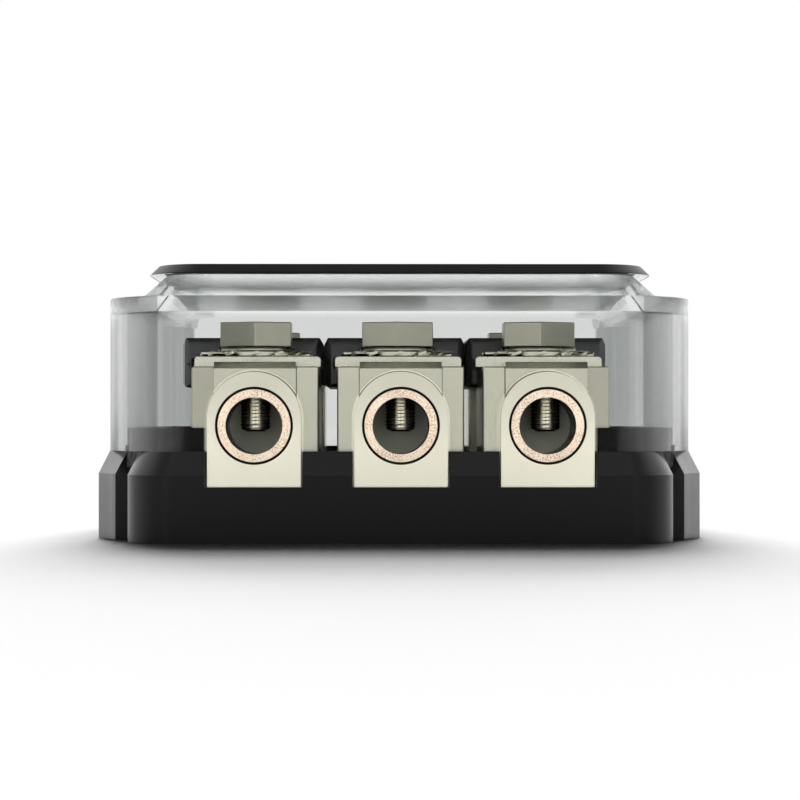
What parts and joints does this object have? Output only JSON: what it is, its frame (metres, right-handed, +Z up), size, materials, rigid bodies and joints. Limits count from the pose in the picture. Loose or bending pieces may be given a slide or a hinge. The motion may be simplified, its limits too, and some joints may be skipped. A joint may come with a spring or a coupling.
{
  "type": "anl fuse holder",
  "caption": "Fused distribution block: black tray, clear lift-off lid with a dark top plate, and plated cable terminals bridged by bolted strip fuses.",
  "frame": {"origin": "middle of the footprint on the mounting surface", "axes": "+Z up from the mounting surface, -Y to the front terminals, +X to the right"},
  "size_m": [0.1086, 0.109, 0.0484],
  "materials": {
    "tray_plastic": "fine satin moulded black",
    "clear_plastic": "clear polished moulding",
    "badge_black": "black satin plate with a bevel",
    "nickel": "satin nickel plating",
    "copper_sleeve": "turned pale copper",
    "screw_nickel": "plated threaded steel",
    "bolt_nickel": "plated steel",
    "washer_nickel": "plated spring steel",
    "screw_steel": "plain steel",
    "blade_nickel": "plated strip",
    "fuse_plastic": "charcoal moulded plastic",
    "fuse_window": "clear plastic"
  },
  "bodies": {
    "holder": {"tray": "tray_plastic", "terminal_front_left": "nickel", "terminal_front_middle": "nickel", "terminal_front_right": "nickel", "terminal_rear_left": "nickel", "terminal_rear_middle": "nickel", "terminal_rear_right": "nickel", "cable_sleeve_front_left": "copper_sleeve", "cable_sleeve_front_middle": "copper_sleeve", "cable_sleeve_front_right": "copper_sleeve", "cable_sleeve_rear_left": "copper_sleeve", "cable_sleeve_rear_middle": "copper_sleeve", "cable_sleeve_rear_right": "copper_sleeve", "spring_washer_front_left": "washer_nickel", "spring_washer_front_middle": "washer_nickel", "spring_washer_front_right": "washer_nickel", "spring_washer_rear_left": "washer_nickel", "spring_washer_rear_middle": "washer_nickel", "spring_washer_rear_right": "washer_nickel", "toothed_washer_front_left": "washer_nickel", "toothed_washer_front_middle": "washer_nickel", "toothed_washer_front_right": "washer_nickel", "toothed_washer_rear_left": "washer_nickel", "toothed_washer_rear_middle": "washer_nickel", "toothed_washer_rear_right": "washer_nickel", "fixing_screw_front_left": "screw_steel", "fixing_screw_front_middle": "screw_steel", "fixing_screw_front_right": "screw_steel", "fixing_screw_rear_left": "screw_steel", "fixing_screw_rear_middle": "screw_steel", "fixing_screw_rear_right": "screw_steel", "fuse_blade_left": "blade_nickel", "fuse_blade_middle": "blade_nickel", "fuse_blade_right": "blade_nickel", "fuse_case_lower_left": "fuse_plastic", "fuse_case_lower_middle": "fuse_plastic", "fuse_case_lower_right": "fuse_plastic", "fuse_case_upper_left": "fuse_plastic", "fuse_case_upper_middle": "fuse_plastic", "fuse_case_upper_right": "fuse_plastic", "fuse_window_left": "fuse_window", "fuse_window_middle": "fuse_window", "fuse_window_right": "fuse_window"},
    "lid": {"lid": "clear_plastic", "badge": "badge_black"},
    "set_screw_front_left": {"set_screw_front_left": "screw_nickel"},
    "clamp_bolt_front_left": {"clamp_bolt_front_left": "bolt_nickel"},
    "set_screw_front_middle": {"set_screw_front_middle": "screw_nickel"},
    "clamp_bolt_front_middle": {"clamp_bolt_front_middle": "bolt_nickel"},
    "set_screw_front_right": {"set_screw_front_right": "screw_nickel"},
    "clamp_bolt_front_right": {"clamp_bolt_front_right": "bolt_nickel"},
    "set_screw_rear_left": {"set_screw_rear_left": "screw_nickel"},
    "clamp_bolt_rear_left": {"clamp_bolt_rear_left": "bolt_nickel"},
    "set_screw_rear_middle": {"set_screw_rear_middle": "screw_nickel"},
    "clamp_bolt_rear_middle": {"clamp_bolt_rear_middle": "bolt_nickel"},
    "set_screw_rear_right": {"set_screw_rear_right": "screw_nickel"},
    "clamp_bolt_rear_right": {"clamp_bolt_rear_right": "bolt_nickel"}
  },
  "joints": [
    {"name": "lid_lift", "type": "slide", "parent": "holder", "child": "lid", "axis": [0, 0, 1], "range_m": [0, 0.045]},
    {"name": "set_screw_front_left_travel", "type": "slide", "parent": "holder", "child": "set_screw_front_left", "axis": [0, 0, 1], "range_m": [-0.003, 0.007]},
    {"name": "clamp_bolt_front_left_turn", "type": "hinge", "parent": "holder", "child": "clamp_bolt_front_left", "pos_m": [-0.0258, -0.031, 0.036], "axis": [0, 0, 1], "continuous": true},
    {"name": "set_screw_front_middle_travel", "type": "slide", "parent": "holder", "child": "set_screw_front_middle", "axis": [0, 0, 1], "range_m": [-0.003, 0.007]},
    {"name": "clamp_bolt_front_middle_turn", "type": "hinge", "parent": "holder", "child": "clamp_bolt_front_middle", "pos_m": [-0.0004, -0.031, 0.036], "axis": [0, 0, 1], "continuous": true},
    {"name": "set_screw_front_right_travel", "type": "slide", "parent": "holder", "child": "set_screw_front_right", "axis": [0, 0, 1], "range_m": [-0.003, 0.007]},
    {"name": "clamp_bolt_front_right_turn", "type": "hinge", "parent": "holder", "child": "clamp_bolt_front_right", "pos_m": [0.025, -0.031, 0.036], "axis": [0, 0, 1], "continuous": true},
    {"name": "set_screw_rear_left_travel", "type": "slide", "parent": "holder", "child": "set_screw_rear_left", "axis": [0, 0, 1], "range_m": [-0.003, 0.007]},
    {"name": "clamp_bolt_rear_left_turn", "type": "hinge", "parent": "holder", "child": "clamp_bolt_rear_left", "pos_m": [-0.0258, 0.031, 0.036], "axis": [0, 0, 1], "continuous": true},
    {"name": "set_screw_rear_middle_travel", "type": "slide", "parent": "holder", "child": "set_screw_rear_middle", "axis": [0, 0, 1], "range_m": [-0.003, 0.007]},
    {"name": "clamp_bolt_rear_middle_turn", "type": "hinge", "parent": "holder", "child": "clamp_bolt_rear_middle", "pos_m": [-0.0004, 0.031, 0.036], "axis": [0, 0, 1], "continuous": true},
    {"name": "set_screw_rear_right_travel", "type": "slide", "parent": "holder", "child": "set_screw_rear_right", "axis": [0, 0, 1], "range_m": [-0.003, 0.007]},
    {"name": "clamp_bolt_rear_right_turn", "type": "hinge", "parent": "holder", "child": "clamp_bolt_rear_right", "pos_m": [0.025, 0.031, 0.036], "axis": [0, 0, 1], "continuous": true}
  ]
}
